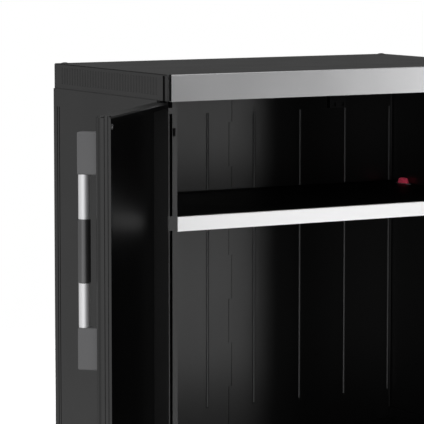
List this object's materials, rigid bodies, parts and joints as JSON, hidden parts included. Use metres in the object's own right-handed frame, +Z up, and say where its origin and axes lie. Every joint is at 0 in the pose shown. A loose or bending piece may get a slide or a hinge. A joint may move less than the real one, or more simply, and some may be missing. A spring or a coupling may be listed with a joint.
{
  "type": "two-door tool cabinet",
  "caption": "Low resin tool cabinet with hinged doors, an adjustable shelf, a fluted lid and bar handles, shown with its doors open.",
  "frame": {"origin": "on the floor, in the middle of the carcass, at the underside of the centre foot", "axes": "+X to the right seen from the front, +Y to the rear, +Z up"},
  "size_m": [1.5322, 0.8259, 0.9324],
  "materials": {
    "black_resin": "fine moulded grain",
    "silver_trim": "satin silver",
    "aluminium_tube": "satin anodised",
    "soft_grip": "matt",
    "grey_resin": "satin",
    "red_lock": "satin",
    "striker_steel": "bright",
    "zinc_steel": "zinc plated",
    "bearing_plastic": "smooth",
    "foot_rubber": "matt",
    "hinge_plastic": "smooth",
    "handle_plastic": "satin"
  },
  "bodies": {
    "carcass": {"back_panel_left": "black_resin", "back_panel_right": "black_resin", "base_tray": "black_resin", "door_buffers_left": "bearing_plastic", "door_buffers_right": "bearing_plastic", "door_catch": "bearing_plastic", "foot_centre": "foot_rubber", "foot_front_left": "foot_rubber", "foot_front_right": "foot_rubber", "foot_rear_left": "foot_rubber", "foot_rear_right": "foot_rubber", "header_strip": "silver_trim", "hinge_brackets_left": "hinge_plastic", "hinge_brackets_right": "hinge_plastic", "lid": "black_resin", "lid_cap_left": "black_resin", "lid_cap_right": "black_resin", "lid_screws": "zinc_steel", "pivot_sockets_left": "bearing_plastic", "pivot_sockets_right": "bearing_plastic", "shelf_cleat_left": "black_resin", "shelf_cleat_right": "black_resin", "shelf_deck": "black_resin", "shelf_lock_front_left": "red_lock", "shelf_lock_front_right": "red_lock", "shelf_lock_plates": "grey_resin", "shelf_lock_rear_left": "red_lock", "shelf_lock_rear_right": "red_lock", "shelf_trim": "silver_trim", "side_panel_left": "black_resin", "side_panel_right": "black_resin"},
    "left_door": {"left_door_frame": "black_resin", "left_door_hinge_pins": "zinc_steel", "left_door_pivot_bottom": "bearing_plastic", "left_door_pivot_top": "bearing_plastic", "left_door_shell": "black_resin", "left_door_striker": "striker_steel", "left_handle_block_lower": "handle_plastic", "left_handle_block_upper": "handle_plastic", "left_handle_grip": "soft_grip", "left_handle_screws": "zinc_steel", "left_handle_tube": "aluminium_tube"},
    "right_door": {"right_door_frame": "black_resin", "right_door_hinge_pins": "zinc_steel", "right_door_pivot_bottom": "bearing_plastic", "right_door_pivot_top": "bearing_plastic", "right_door_shell": "black_resin", "right_door_striker": "striker_steel", "right_handle_block_lower": "handle_plastic", "right_handle_block_upper": "handle_plastic", "right_handle_grip": "soft_grip", "right_handle_screws": "zinc_steel", "right_handle_tube": "aluminium_tube"}
  },
  "joints": [
    {"name": "left_door_hinge", "type": "hinge", "parent": "carcass", "child": "left_door", "pos_m": [-0.437, -0.241, 0.465], "axis": [0, 0, -1], "range_deg": [-134, 0]},
    {"name": "right_door_hinge", "type": "hinge", "parent": "carcass", "child": "right_door", "pos_m": [0.437, -0.241, 0.465], "axis": [0, 0, 1], "range_deg": [-134, 0]}
  ]
}
